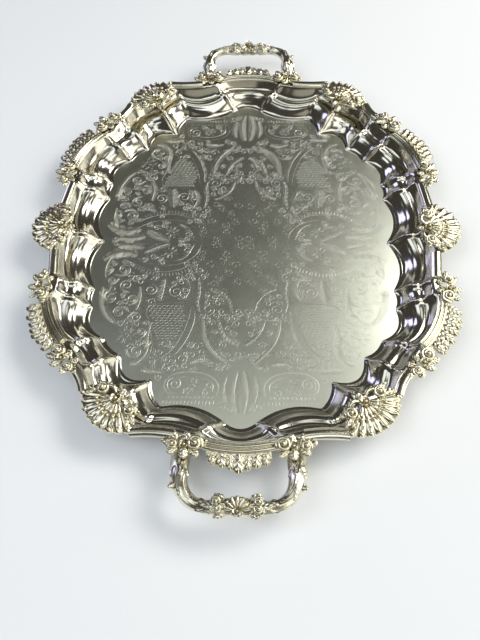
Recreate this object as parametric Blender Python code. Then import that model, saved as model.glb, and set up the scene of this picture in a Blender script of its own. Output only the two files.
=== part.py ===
"""Two-handled oval salver, about 610 x 465 mm: a pressed body with a fluted side, an applied border of
shells, scroll clusters, reeded mouldings and leaf bands, and two cast handles.
Metres, +Z up. The origin is the centre of the flat underside, +Y runs towards the far handle."""

import math

import bmesh
import bpy
from mathutils import Vector

MM = 0.001
GAP = 0.3  # solder line between neighbouring pieces, mm

# Border knots of the first quarter, from the +X axis round to the +Y axis, mm:
# (x, y, how far the edge to the next knot bows outwards).
BORDER = (
    (207, 0, 1), (206, 36, 0), (203, 60, 0), (200, 67, 0), (198, 74, 0), (201, 81, 0), (205, 88, 5),
    (178, 145, 0), (166, 157, 0), (160, 175, -1), (151, 191, 2), (124, 215, 2), (94, 236, -1),
    (62, 237, 0), (48, 237, 0), (36, 245, 0), (0, 250, 0),
)
LOBE_BOW = 5  # bow of the whole edge across the handle lobe
# The knots where a crease runs down the side, with the foot of the crease on the flat centre:
# knot: (x, y, how far the centre's outline bows outwards up to the next crease).
CREASES = {
    0: (157, 0, 10.5), 3: (158.5, 63, 3), 5: (158, 86, 9.5), 7: (140.5, 123, 3.5), 9: (121, 142, 14),
    11: (88, 168, 3), 12: (77, 197, -8), 14: (15, 212, 6),
}
# The pieces along the quarter: (name, first knot, last knot).
HOLLOWS = ((1, 2), (9, 10), (12, 13))
LOBE = (6, 7)
HANDLE_LOBE_KNOT = 15
SHELL_KNOTS = (10, 12)
SCROLL_SEATS = ((206, 78, 0), (170.5, 161, 45), (48, 242.5, 83))  # x, y, outward direction in degrees

SHEET = 2.0  # thickness of the body
FLANGE_Z = 27.5  # top of the flange
SEAT_Z = FLANGE_Z + GAP  # underside of the border pieces
# Side profile: (fraction of the way from centre to edge, height above the centre's face)
SIDE_TOP = (
    (0, 0), (0.14, 3.0), (0.33, 11.5), (0.46, 17.0), (0.50, 17.2), (0.56, 16.6), (0.74, 23.0), (0.80, 25.5),
)
SIDE_UNDER = ((0.80, 25.5), (0.56, 16.6), (0.33, 11.0), (0.10, 1.6), (0.02, 0))
EDGE_STEP = 14.0  # longest face along the edge

MOULD_WIDTH = 11.0
MOULD_SECTION = ((-11, 0), (0, 0), (0, 1.6), (-1.6, 3.2), (-3.8, 2.4), (-6, 3.0), (-8.2, 2.0), (-11, 1.0))
LOBE_TRIM = 6.5  # the scrolls cover this much of each end of a lobe

TONGUES = 7
TONGUE_REACH = (9.5, 14.5)  # leaf band beyond the edge: between tongues, at a tongue's tip
LEAF_ROOT_Z = 25.6

SHELL_RIBS = 9
# The side shells and the diagonal ones: hub inside the edge, mm; radius, mm; half of the spread.
SIDE_SHELL = (12.0, 37.6, math.radians(72))
DIAGONAL_SHELL = (17.0, 36.0, math.radians(70))

SCROLL_HALF = (15.2, 11.5)  # half-length along the edge, half-width across it
SCROLL_PETALS = 5
SCROLL_LEVELS = ((0, 0.92), (1.8, 1.0), (4.4, 0.78), (6.2, 0.36))  # height, share of the outline

GRIP_Z = 30.0
GRIP_Y = 296.4
ARM_X = 50.5
ARM_ROOT = (236.5, 19.2)  # y, z of the arm's end under the flange
CORNER = 25.0  # bend between arm and grip
BAR_HALF_HEIGHT = 5.6
# Half-width of the bar: (share of the way from the arm's end to the middle of the grip, mm). The arm is
# widest in its leaf, and the shell at the middle of the grip is wider still.
BAR_HALF_WIDTH = (
    (0, 5.4), (0.2, 7.2), (0.5, 5.8), (0.76, 4.9), (0.8, 6.4), (0.86, 7.0), (0.9, 8.2), (1.0, 8.8),
)
GRIP_STATIONS = (21.5, 18.5, 14.0, 10.0, 5.0, 0.0)  # x along the grip's shell
HANDLE_SIDES = 10

SILVER = {
    "body_silver": ((0.74, 0.72, 0.67), 0.18),
    "border_silver": ((0.71, 0.68, 0.61), 0.24),
    "handle_silver": ((0.69, 0.66, 0.59), 0.26),
}


def clear_scene():
    for obj in list(bpy.data.objects):
        bpy.data.objects.remove(obj, do_unlink=True)
    for mesh in list(bpy.data.meshes):
        bpy.data.meshes.remove(mesh)


def make_material(slot, name):
    colour, roughness = SILVER[slot]
    material = bpy.data.materials.new(slot + "." + name)
    material.use_nodes = True
    shader = material.node_tree.nodes["Principled BSDF"]
    shader.inputs["Base Color"].default_value = (*colour, 1)
    shader.inputs["Roughness"].default_value = roughness
    shader.inputs["Metallic"].default_value = 1.0
    return material


def add_solid(name, rings, slot):
    """A closed body through closed rings of equal length, with a flat cap on the first and the last."""
    work = bmesh.new()
    loops = [[work.verts.new(Vector(point) * MM) for point in ring] for ring in rings]
    for lower, upper in zip(loops, loops[1:]):
        for i in range(len(lower)):
            j = (i + 1) % len(lower)
            work.faces.new((lower[i], lower[j], upper[j], upper[i]))
    work.faces.new(loops[0][::-1])
    work.faces.new(loops[-1])
    bmesh.ops.recalc_face_normals(work, faces=work.faces)
    mesh = bpy.data.meshes.new(name)
    work.to_mesh(mesh)
    work.free()
    mesh.materials.append(make_material(slot, name))
    obj = bpy.data.objects.new(name, mesh)
    bpy.context.scene.collection.objects.link(obj)
    mesh.shade_smooth()
    mesh.set_sharp_from_angle(angle=math.radians(32))


def bowed(start, end, bow, steps):
    """Points from start up to, not including, end, bowed outwards (to the right of the way round)."""
    across = Vector((end[1] - start[1], start[0] - end[0])).normalized()
    points = []
    for i in range(steps):
        t = i / steps
        points.append(Vector(start).lerp(Vector(end), t) + across * (4 * bow * t * (1 - t)))
    return points


def quarters(point, turn):
    """The four mirrored places of a first-quarter point with its outward direction, anticlockwise."""
    x, y = point
    return (
        ((x, y), turn), ((-x, y), math.pi - turn), ((-x, -y), math.pi + turn), ((x, -y), -turn),
    )


def mirrored_path(points, quarter):
    """A first-quarter path in the given quarter, still running anticlockwise."""
    flip = ((1, 1), (-1, 1), (-1, -1), (1, -1))[quarter]
    path = [Vector((p[0] * flip[0], p[1] * flip[1])) for p in points]
    return path if quarter in (0, 2) else path[::-1]


def border_points(first, last, steps):
    """The edge from one knot to another, with so many equal parts per knot."""
    path = []
    for a, b in zip(range(first, last), range(first + 1, last + 1)):
        path += bowed(BORDER[a][:2], BORDER[b][:2], BORDER[a][2], steps)
    return path + [Vector(BORDER[last][:2])]


def handle_lobe_edge(steps):
    """The whole edge across the far handle lobe, from +X to -X."""
    x, y = BORDER[HANDLE_LOBE_KNOT][:2]
    return bowed((x, y), (-x, y), LOBE_BOW, steps) + [Vector((-x, y))]


def quarter_columns():
    """(edge point, centre-outline point) pairs of the first quarter, the second matched by distance."""
    feet = sorted(CREASES)
    columns = []
    for k, first in enumerate(feet):
        last = feet[k + 1] if k + 1 < len(feet) else len(BORDER) - 1
        edge = []
        for a in range(first, last):
            start, end = BORDER[a][:2], BORDER[a + 1][:2]
            bow = LOBE_BOW / 4 if a == HANDLE_LOBE_KNOT else BORDER[a][2]
            steps = max(1, math.ceil((Vector(end) - Vector(start)).length / EDGE_STEP))
            edge += bowed(start, end, bow, steps)
        edge.append(Vector(BORDER[last][:2]))
        run = [0.0]
        for p, q in zip(edge, edge[1:]):
            run.append(run[-1] + (q - p).length)
        foot = Vector(CREASES[first][:2])
        bow = CREASES[first][2]
        if k + 1 < len(feet):
            goal, share = Vector(CREASES[last][:2]), 1.0
        else:
            goal, share = Vector((-foot.x, foot.y)), 0.5
        across = Vector((goal.y - foot.y, foot.x - goal.x)).normalized()
        for point, at in zip(edge[:-1], run):
            t = share * at / run[-1]
            columns.append((point, foot.lerp(goal, t) + across * (4 * bow * t * (1 - t))))
    axis_foot = Vector((0, CREASES[feet[-1]][1] + CREASES[feet[-1]][2]))
    return columns + [(Vector(BORDER[-1][:2]), axis_foot)]


def full_columns():
    quarter = quarter_columns()
    columns = []
    for q in range(4):
        edge = mirrored_path([c[0] for c in quarter], q)
        foot = mirrored_path([c[1] for c in quarter], q)
        columns += list(zip(edge, foot))[:-1]
    return columns


def add_body():
    columns = full_columns()

    def ring(share, height):
        points = [foot.lerp(edge, share) for edge, foot in columns]
        return [(p.x, p.y, height) for p in points]

    rings = [ring(share, SHEET + z) for share, z in SIDE_TOP]
    rings += [ring(1.0, FLANGE_Z), ring(1.0, FLANGE_Z - SHEET)]
    rings += [ring(share, z) for share, z in SIDE_UNDER]
    add_solid("tray_body", rings, "body_silver")


def along(path, trim=0.0):
    """Points and outward directions along a path, trimmed at both ends."""
    path = [p.copy() for p in path]
    path[0] += (path[1] - path[0]).normalized() * trim
    path[-1] += (path[-2] - path[-1]).normalized() * trim
    stations = []
    for i, point in enumerate(path):
        way = path[min(i + 1, len(path) - 1)] - path[max(i - 1, 0)]
        stations.append((point, Vector((way.y, -way.x)).normalized()))
    return stations


def add_strip(name, stations, sections):
    """A body along the stations; each section lists (distance outwards, height)."""
    rings = []
    for (point, out), section in zip(stations, sections):
        rings.append([(*(point + out * reach), z) for reach, z in section])
    add_solid(name, rings, "border_silver")


def lobe_edges():
    """The edges of the six lobes, anticlockwise from the first diagonal one."""
    diagonal = border_points(*LOBE, 8)
    handle = handle_lobe_edge(8)
    return (
        mirrored_path(diagonal, 0), handle, mirrored_path(diagonal, 1),
        mirrored_path(diagonal, 2), mirrored_path(handle, 2), mirrored_path(diagonal, 3),
    )


def resampled(path, count):
    """The path as so many equally long parts."""
    run = [0.0]
    for p, q in zip(path, path[1:]):
        run.append(run[-1] + (q - p).length)
    points = []
    for i in range(count + 1):
        at = run[-1] * i / count
        k = max(j for j in range(len(path) - 1) if run[j] <= at + 1e-9)
        points.append(path[k].lerp(path[k + 1], min(1, (at - run[k]) / (run[k + 1] - run[k]))))
    return points


def add_mouldings():
    section = [(reach, SEAT_Z + z) for reach, z in MOULD_SECTION]
    number = 0
    for q in range(4):
        for first, last in HOLLOWS:
            number += 1
            stations = along(mirrored_path(border_points(first, last, 3), q), GAP)
            add_strip(f"hollow_mould_{number}", stations, [section] * len(stations))
    for number, path in enumerate(lobe_edges(), 1):
        stations = along(path, LOBE_TRIM)
        add_strip(f"lobe_mould_{number}", stations, [section] * len(stations))


def leaf_section(lift):
    """Cross-section of the leaf band, from 0 between two tongues to 1 along a tongue's middle."""
    reach = TONGUE_REACH[0] + lift * (TONGUE_REACH[1] - TONGUE_REACH[0])
    return (
        (GAP + 0.1, LEAF_ROOT_Z), (reach, LEAF_ROOT_Z + 1.2), (reach, LEAF_ROOT_Z + 2.2),
        (reach * 0.62, LEAF_ROOT_Z + 3.6 + 1.6 * lift), (GAP + 0.1, LEAF_ROOT_Z + 3.4 + lift),
    )


def add_leaf_bands():
    for number, path in enumerate(lobe_edges(), 1):
        steps = 3 * TONGUES
        stations = along(resampled([p for p, _ in along(path, LOBE_TRIM + 1)], steps))
        sections = [leaf_section(0.0 if i % 3 == 0 else 1.0) for i in range(steps + 1)]
        add_strip(f"leaf_band_{number}", stations, sections)


def shell_seats():
    """(hub, outward direction, shell size) of the six shells, anticlockwise from the +X axis."""
    first, last = (Vector(BORDER[k][:2]) for k in SHELL_KNOTS)
    way = last - first
    turn = math.atan2(-way.x, way.y)
    hub = (first + last) / 2 - Vector((math.cos(turn), math.sin(turn))) * DIAGONAL_SHELL[0]
    side = BORDER[0][0] - SIDE_SHELL[0]
    diagonal = [(*seat, DIAGONAL_SHELL) for seat in quarters(hub, turn)]
    return (((side, 0), 0.0, SIDE_SHELL), *diagonal[:2], ((-side, 0), math.pi, SIDE_SHELL), *diagonal[2:])


def add_shells():
    columns = 2 * SHELL_RIBS
    for number, (hub, turn, (_, full_radius, spread)) in enumerate(shell_seats(), 1):
        rings = []
        for i in range(columns + 1):
            angle = spread * (2 * i / columns - 1)
            rib = i % 2
            radius = full_radius - 1.6 * (1 - rib) - 1.4 * (angle / spread) ** 2
            profile = (
                (2.5, 0), (radius, 0), (radius, 1.6), (0.82 * radius, 3.6 + rib), (0.5 * radius, 4.6 + rib),
                (0.24 * radius, 4.8), (2.5, 5.6),
            )
            x, y = math.cos(turn + angle), math.sin(turn + angle)
            rings.append([(hub[0] + x * r, hub[1] + y * r, SEAT_Z + z) for r, z in profile])
        add_solid(f"shell_{number}", rings, "border_silver")


def add_scrolls():
    number = 0
    sides = 3 * SCROLL_PETALS
    for q in range(4):
        for x, y, degrees in SCROLL_SEATS:
            number += 1
            (x, y), turn = quarters((x, y), math.radians(degrees))[q]
            out, way = Vector((math.cos(turn), math.sin(turn))), Vector((-math.sin(turn), math.cos(turn)))
            rings = []
            for height, share in SCROLL_LEVELS:
                ring = []
                for i in range(sides):
                    angle = math.tau * i / sides
                    wave = share * (0.94 + 0.06 * math.cos(SCROLL_PETALS * angle))
                    point = way * (SCROLL_HALF[0] * wave * math.sin(angle))
                    point += out * (SCROLL_HALF[1] * wave * math.cos(angle))
                    ring.append((x + point.x, y + point.y, SEAT_Z + height))
                rings.append(ring)
            add_solid(f"scroll_{number}", rings, "border_silver")


def handle_centreline():
    """Half of a handle, from the end under the flange to the middle of the grip."""
    y, z = ARM_ROOT
    corner_y = GRIP_Y - CORNER
    line = [(ARM_X, y, z), (ARM_X, y + 8, z), (ARM_X + 1, y + 18, z + 2), (ARM_X + 1, y + 27, GRIP_Z - 5)]
    for i in range(6):
        angle = math.radians(18 * i)
        x = ARM_X - CORNER + CORNER * math.cos(angle)
        line.append((x, corner_y + CORNER * math.sin(angle), GRIP_Z - max(0, 2 - i)))
    line += [(x, GRIP_Y, GRIP_Z) for x in GRIP_STATIONS]
    return [Vector(point) for point in line]


def table_value(table, share):
    for (x0, y0), (x1, y1) in zip(table, table[1:]):
        if share <= x1:
            return y0 + (y1 - y0) * (share - x0) / (x1 - x0)
    return table[-1][1]


def handle_ring(centre, way, half_width, facing):
    side = Vector((way.y, -way.x, 0)).normalized()
    rise = side.cross(way).normalized()
    ring = []
    for i in range(HANDLE_SIDES):
        angle = math.tau * (i + 0.5) / HANDLE_SIDES
        point = centre + side * (half_width * math.cos(angle)) + rise * (BAR_HALF_HEIGHT * math.sin(angle))
        ring.append((point.x * facing, point.y * facing, point.z))
    return ring


def add_handle(name, facing):
    half = handle_centreline()
    run = [0.0]
    for p, q in zip(half, half[1:]):
        run.append(run[-1] + (q - p).length)
    widths = [table_value(BAR_HALF_WIDTH, r / run[-1]) for r in run]
    line = half + [Vector((-p.x, p.y, p.z)) for p in half[-2::-1]]
    widths += widths[-2::-1]
    rings = []
    for i, (centre, width) in enumerate(zip(line, widths)):
        way = (line[min(i + 1, len(line) - 1)] - line[max(i - 1, 0)]).normalized()
        rings.append(handle_ring(centre, way, width, facing))
    add_solid(name, rings, "handle_silver")


clear_scene()
add_body()
add_mouldings()
add_leaf_bands()
add_shells()
add_scrolls()
add_handle("handle_far", 1)
add_handle("handle_near", -1)
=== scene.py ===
"""Looks for the two-handled oval salver: the pressed body with its engraved centre, the applied border and
the two cast handles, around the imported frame. Sizes are in millimetres and are turned into metres when a
mesh is made. The border knots and creases repeat those of the CAD part."""

import math

import bpy
import numpy as np
from mathutils import Matrix, Vector


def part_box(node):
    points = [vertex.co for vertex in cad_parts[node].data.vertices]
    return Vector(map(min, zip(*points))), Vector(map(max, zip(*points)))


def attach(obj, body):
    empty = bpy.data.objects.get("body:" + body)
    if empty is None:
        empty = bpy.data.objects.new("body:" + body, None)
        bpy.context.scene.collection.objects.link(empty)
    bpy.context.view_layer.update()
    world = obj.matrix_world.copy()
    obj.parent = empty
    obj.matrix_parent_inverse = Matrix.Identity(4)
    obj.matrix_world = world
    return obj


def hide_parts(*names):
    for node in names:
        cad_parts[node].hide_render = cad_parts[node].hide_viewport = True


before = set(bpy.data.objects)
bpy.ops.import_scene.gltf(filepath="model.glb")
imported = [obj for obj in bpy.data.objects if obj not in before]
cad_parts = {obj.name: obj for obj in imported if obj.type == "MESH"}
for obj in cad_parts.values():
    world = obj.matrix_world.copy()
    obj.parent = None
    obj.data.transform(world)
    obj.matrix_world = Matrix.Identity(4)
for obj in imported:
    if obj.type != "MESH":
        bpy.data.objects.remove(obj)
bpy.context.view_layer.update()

MM = 0.001
TAU = math.tau

# Border knots of the first quarter, from the +X axis round to the +Y axis: (x, y, outward bow to the next).
BORDER = (
    (207, 0, 1), (206, 36, 0), (203, 60, 0), (200, 67, 0), (198, 74, 0), (201, 81, 0), (205, 88, 5),
    (178, 145, 0), (166, 157, 0), (160, 175, -1), (151, 191, 2), (124, 215, 2), (94, 236, -1),
    (62, 237, 0), (48, 237, 0), (36, 245, 0), (0, 250, 0),
)
# Knots where a crease runs down the side: knot: (x and y of its foot, outward bow of the centre's outline
# to the next foot, strength).
CREASES = {
    0: (157, 0, 10.5, 1.0), 3: (158.5, 63, 3, 0.9), 5: (158, 86, 9.5, 0.9), 7: (140.5, 123, 3.5, 1.0),
    9: (121, 142, 14, 0.8), 11: (88, 168, 3, 1.0), 12: (77, 197, -8, 0.5), 14: (15, 212, 6, 1.0),
}
HOLLOWS = ((1, 2), (9, 10), (12, 13))
LOBE = (6, 7)
LOBE_BOW = 5
HANDLE_LOBE_KNOT = 15
SHELL_KNOTS = (10, 12)
SHEET = 2.0
FLANGE_Z = 27.5
BORDER_Z = FLANGE_Z + 0.2  # foot of the shells, scrolls and mouldings


# ---- mesh helpers


def link(name, shape, node, slot, *materials):
    """A smooth mesh object in metres, from (vertices, faces) in millimetres, that stands for the CAD node."""
    vertices, faces = shape
    mesh = bpy.data.meshes.new(name)
    mesh.from_pydata((vertices * MM).tolist(), [], faces)
    for material in materials:
        mesh.materials.append(material)
    mesh.validate()
    mesh.shade_smooth()
    mesh.set_sharp_from_angle(angle=math.radians(50))
    obj = bpy.data.objects.new(name, mesh)
    bpy.context.scene.collection.objects.link(obj)
    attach(obj, "root")
    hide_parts(node)
    return obj


def skin(rings):
    """(vertices, faces) of the skin through rings of equal length, closed by a flat face at each end."""
    rings = np.asarray(rings, float)
    count, sides = rings.shape[:2]
    starts = np.arange(count - 1)[:, None] * sides
    a = (starts + np.arange(sides)).ravel()
    b = (starts + (np.arange(sides) + 1) % sides).ravel()
    faces = np.stack([a, b, b + sides, a + sides], 1).tolist()
    faces.append(list(range(sides))[::-1])
    faces.append(list(range((count - 1) * sides, count * sides)))
    return rings.reshape(-1, 3), faces


def joined(parts):
    """(vertices, faces) of several (vertices, faces) as one."""
    vertices, faces, count = [], [], 0
    for part_vertices, part_faces in parts:
        vertices.append(part_vertices)
        faces += [[i + count for i in face] for face in part_faces]
        count += len(part_vertices)
    return np.concatenate(vertices), faces


def moved(shape, offset, turn=0.0, tilt=0.0):
    """The shape tilted about X, turned about Z, both in degrees, and then moved."""
    c, s = math.cos(math.radians(tilt)), math.sin(math.radians(tilt))
    vertices = shape[0] @ np.array([[1, 0, 0], [0, c, -s], [0, s, c]]).T
    c, s = math.cos(math.radians(turn)), math.sin(math.radians(turn))
    vertices = vertices @ np.array([[c, -s, 0], [s, c, 0], [0, 0, 1]]).T
    return vertices + np.array(offset, float), shape[1]


def flipped(shape):
    """The mirror image of the shape in its own X."""
    return shape[0] * (-1, 1, 1), [face[::-1] for face in shape[1]]


def graded(at, table):
    """The value at each place, read between the (place, value) rows of a table."""
    places, values = zip(*table)
    return np.interp(at, places, values)


# ---- the outline

BODY_STEP = 0.9
PATH_STEP = 0.8
OUTLINE_BLEND = 2  # rounding of the body's outlines, in steps


def bowed(start, end, bow, step):
    """Points from start up to, not including, end, about a step apart, bowed outwards."""
    start, end = np.array(start, float), np.array(end, float)
    chord = end - start
    count = max(1, math.ceil(np.hypot(*chord) / step))
    t = (np.arange(count) / count)[:, None]
    across = np.array([chord[1], -chord[0]]) / np.hypot(*chord)
    return start + chord * t + across * (4 * bow * t * (1 - t))


def run_of(path):
    """Distance along the path at each of its points."""
    return np.concatenate([[0.0], np.cumsum(np.hypot(*np.diff(path, axis=0).T))])


def quarter_columns():
    """Edge points, centre-outline chord points, bow vectors and crease strengths of the first quarter."""
    feet = sorted(CREASES)
    edges, chords, bows, crease = [], [], [], []
    for k, first in enumerate(feet):
        whole = k + 1 < len(feet)  # the last panel crosses the Y axis, so half of it is in this quarter
        last = feet[k + 1] if whole else len(BORDER) - 1
        parts = []
        for a in range(first, last):
            # Half of the handle lobe bows a quarter as far as all of it.
            bow = LOBE_BOW / 4 if a == HANDLE_LOBE_KNOT else BORDER[a][2]
            parts.append(bowed(BORDER[a][:2], BORDER[a + 1][:2], bow, BODY_STEP))
        edge = np.concatenate(parts + [np.array([BORDER[last][:2]], float)])
        run = run_of(edge)
        foot = np.array(CREASES[first][:2], float)
        goal = np.array(CREASES[last][:2], float) if whole else foot * (-1, 1)
        across = np.array([goal[1] - foot[1], foot[0] - goal[0]])
        across /= np.hypot(*across)
        t = ((1.0 if whole else 0.5) * run / run[-1])[:-1, None]
        edges.append(edge[:-1])
        chords.append(foot + (goal - foot) * t)
        bows.append(across * (4 * CREASES[first][2] * t * (1 - t)))
        crease += [CREASES[first][3]] + [0.0] * (len(edge) - 2)
    return np.concatenate(edges), np.concatenate(chords), np.concatenate(bows), np.array(crease)


def full_columns():
    """The four arrays of quarter_columns all the way round."""
    edge, chord, bow, crease = quarter_columns()
    _, last_y, last_bow, _ = CREASES[max(CREASES)]
    edge = np.concatenate([edge, [BORDER[-1][:2]]])
    chord = np.concatenate([chord, [(0.0, last_y)]])
    bow = np.concatenate([bow, [(0.0, last_bow)]])
    crease = np.append(crease, 0.0)
    parts = []
    for sx, sy, order in ((1, 1, 1), (-1, 1, -1), (-1, -1, 1), (1, -1, -1)):
        turned = [edge * (sx, sy), chord * (sx, sy), bow * (sx, sy), crease]
        parts.append([array[::order][:-1] for array in turned])
    return [np.concatenate([part[i] for part in parts]) for i in range(4)]


def smoothed(values):
    """A closed run of points, each averaged over its neighbours by a Gaussian."""
    shifts = np.arange(-3 * OUTLINE_BLEND, 3 * OUTLINE_BLEND + 1)
    weights = np.exp(-0.5 * (shifts / OUTLINE_BLEND) ** 2)
    weights /= weights.sum()
    return sum(weight * np.roll(values, shift, axis=0) for shift, weight in zip(shifts, weights))


# ---- small cast shapes, in local millimetres

TUBE_SIDES = 9
BEAD_SIDES = 10
VOLUTE_STEPS = 26  # to a turn


def tube(path, radii, squash):
    """A closed rod along a path; squash is its height over its width."""
    way = np.gradient(path, axis=0)
    way /= np.linalg.norm(way, axis=1)[:, None]
    side = np.cross(way, (0, 0, 1))
    side /= np.linalg.norm(side, axis=1)[:, None] + 1e-9
    rise = np.cross(side, way)
    angle = TAU * np.arange(TUBE_SIDES) / TUBE_SIDES
    ring = side[:, None] * np.cos(angle)[:, None] + rise[:, None] * (squash * np.sin(angle))[:, None]
    return skin(path[:, None] + ring * radii[:, None, None])


def bead(radius, place):
    """A round bead about a place."""
    angle = TAU * np.arange(BEAD_SIDES) / BEAD_SIDES
    rings = []
    for lift in np.linspace(-0.96, 0.96, 6) * math.pi / 2:
        reach = radius * math.cos(lift)
        height = np.full(BEAD_SIDES, radius * math.sin(lift))
        rings.append(np.column_stack([reach * np.cos(angle), reach * np.sin(angle), height]))
    return moved(skin(rings), place)


def volute(outer, turns, thick, rise, start):
    """A scroll that winds in anticlockwise from start, in degrees, with a bead for its eye."""
    t = np.linspace(0, 1, int(VOLUTE_STEPS * turns))
    angle = math.radians(start) + TAU * turns * t
    reach = outer * (1 - t) ** 0.8 + thick * 0.7 * t
    path = np.column_stack([reach * np.cos(angle), reach * np.sin(angle), rise * t])
    radii = thick * (1 - 0.45 * t)
    radii[:3] *= (0.35, 0.7, 0.9)
    return joined([tube(path, radii, 1.15), bead(thick * 1.15, (0, 0, rise + 0.5))])


def leaf(length, width, thick, curl, lobes, droop=0.0, veins=0.45, blunt=0.0):
    """An acanthus leaf along +Y from the origin, with a smooth back. Curl lifts its tip and droop lowers it
    again, veins is how high its veins stand, and blunt 1 rounds its tip off fully."""
    rows, columns = 7 * lobes, 13
    u = np.linspace(0.02, 0.985, rows)[:, None]
    v = np.linspace(-1, 1, columns)[None, :]
    pointed = np.sin(math.pi * u**0.72) ** 0.62 * (1 - 0.22 * u)
    rounded = (1 - np.abs(2 * u**0.9 - 1) ** 3.2) ** 0.5
    shape = pointed + blunt * (rounded - pointed)
    half = width / 2 * shape * (1 + 0.17 * (1 - 0.6 * blunt) * np.cos(TAU * lobes * u + 0.6))
    x = v * half
    y = length * (u + 0.10 * np.abs(v) ** 1.5 * shape * (1 - u))
    crown = np.sqrt(np.clip(1 - 0.96 * v**2, 0, 1))
    bend = curl * u**2 - droop * u**3
    top = thick * crown * (0.45 + 0.55 * shape) + bend
    midrib = 0.5 * np.exp(-((v / 0.13) ** 2)) * (1 - u)
    grooves = 0.35 * np.exp(-((np.abs(v) - 0.22) / 0.1) ** 2)
    top = top + midrib - grooves
    top = top + veins * np.cos(TAU * (lobes * u - 0.9 * np.abs(v))) * np.abs(v) ** 0.7 * crown
    low = np.minimum(bend, top - 0.15)
    over = np.stack([x, y, top], 2)
    under = np.stack([x, y, low], 2)[:, ::-1][:, 1:-1]
    return skin(np.concatenate([over, under], 1)[:, ::-1])


def fan(radius, spread, ribs, crown, inner, flare, depth):
    """A scallop fan about the origin, opening along +Y by spread degrees to each side, with rounded ribs,
    sharp valleys and curled-up rib ends. Crown is the height of its valleys, inner where its ribs start,
    flare how much longer its corners are than its middle and depth the height of its ribs."""
    share = np.linspace(0, 1, ribs * 12 + 1)
    within = (share * ribs) % 1
    within[-1] = 0
    rib = 1 - (2 * within - 1) ** 2
    aside = 1 - 2 * share
    angle = math.radians(spread) * aside
    edge = radius * (1 - 0.05 * (1 - rib)) * (1 + flare * aside**2)
    r = np.linspace(0, 1, 26)
    reach = inner + (edge[:, None] - inner) * r
    body = crown * graded(r, ((0, 0.75), (0.12, 0.82), (0.4, 1.0), (0.7, 0.92), (0.9, 0.62), (1, 0.25)))
    lift = (0.3 + depth * r) * (1 - 0.55 * np.clip((r - 0.9) / 0.1, 0, 1))
    curled = 0.8 * np.exp(-(((r - 0.91) / 0.07) ** 2))
    z = body + rib[:, None] * lift + rib[:, None] ** 2 * curled
    x, y = reach * np.sin(angle)[:, None], reach * np.cos(angle)[:, None]
    top = np.stack([x, y, z], 2)
    low = np.stack([x, y, np.zeros_like(z)], 2)[:, ::-1]
    return skin(np.concatenate([top, low], 1))


def flower(radius, petals):
    """A small rosette of cupped petals round a bead."""
    angle = TAU * np.arange(petals * 6) / (petals * 6)
    wave = np.abs(np.cos(petals * angle / 2)) ** 0.7
    rings = []
    for share, height in ((1.0, 0.0), (1.04, 0.9), (0.9, 2.3), (0.62, 1.9), (0.4, 1.2), (0.15, 1.4)):
        reach = radius * share * (0.72 + 0.28 * wave)
        z = height + 0.9 * wave * share * (share > 0.5) * (height > 0)
        rings.append(np.column_stack([reach * np.cos(angle), reach * np.sin(angle), z]))
    return joined([skin(rings), bead(radius * 0.33, (0, 0, 2.0))])


# ---- materials

TARNISH_AND_SHADE = (0.12, 0.10, 0.06)  # colour in the deepest hollows, as a share of the untouched silver's: tarnish and painted shade, laid on by the occlusion mask
DULLED_AND_SHADED = (0.66, 0.61, 0.49)  # colour in half-open hollows, likewise: tarnish and painted shade
HAZE_SCALE = 22.0  # to a metre
SCRATCH_SCALE = 1400.0  # to a metre
SCRATCH_TURN = 0.7  # of the noise, in radians
SCRATCH_STRETCH = 0.12  # scale along the salver as a share of that across it
SCRATCH_DEPTH = 0.0001  # in metres


def new_node(nodes, kind, values):
    """A new shader node with the values on its named sockets."""
    node = nodes.new(kind)
    for socket, value in values.items():
        node.inputs[socket].default_value = value
    return node


def silver(name, colour, roughness, clouds=0.35, crevice=0.005):
    """Worn silver plate: tarnish and painted shade in the hollows, where an occlusion mask darkens the
    colour, clouded polish, hairline scratches. Clouds is how far the roughness varies, as a share, and
    crevice the reach of the occlusion that paints the hollows darker, in metres."""
    material = bpy.data.materials.new(name)
    material.use_nodes = True
    nodes = material.node_tree.nodes
    shader = nodes["Principled BSDF"]
    shader.inputs["Metallic"].default_value = 1.0
    place = nodes.new("ShaderNodeTexCoord")
    # Painted shade: the ambient occlusion below darkens the base colour in hollows and where parts meet,
    # standing for tarnish and for shade alike.
    shade = new_node(nodes, "ShaderNodeAmbientOcclusion", {"Distance": crevice})
    shade.samples = 6
    ramp = nodes.new("ShaderNodeValToRGB")
    deepest, clean_and_unshaded = ramp.color_ramp.elements
    deepest.position, clean_and_unshaded.position = 0.18, 0.85
    deepest.color = (*np.multiply(colour, TARNISH_AND_SHADE), 1)
    clean_and_unshaded.color = (*colour, 1)
    ramp.color_ramp.elements.new(0.5).color = (*np.multiply(colour, DULLED_AND_SHADED), 1)
    haze = new_node(nodes, "ShaderNodeTexNoise", {"Scale": HAZE_SCALE, "Detail": 6.0, "Roughness": 0.65})
    spread = new_node(nodes, "ShaderNodeMapRange", {
        "From Min": 0.3, "From Max": 0.7,
        "To Min": roughness * (1 - clouds), "To Max": roughness * (1 + clouds),
    })
    stretch = new_node(nodes, "ShaderNodeMapping", {
        "Rotation": (0, 0, SCRATCH_TURN), "Scale": (1.0, SCRATCH_STRETCH, 1.0),
    })
    scratch = new_node(nodes, "ShaderNodeTexNoise", {"Scale": SCRATCH_SCALE, "Detail": 3.0})
    bump = new_node(nodes, "ShaderNodeBump", {"Strength": 0.10, "Distance": SCRATCH_DEPTH})
    for source, output, target, socket in (
        (shade, "AO", ramp, "Fac"), (ramp, "Color", shader, "Base Color"),
        (place, "Object", haze, "Vector"), (haze, "Fac", spread, "Value"),
        (spread, "Result", shader, "Roughness"), (place, "Object", stretch, "Vector"),
        (stretch, "Vector", scratch, "Vector"), (scratch, "Fac", bump, "Height"),
        (bump, "Normal", shader, "Normal"),
    ):
        material.node_tree.links.new(source.outputs[output], target.inputs[socket])
    return material


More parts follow.
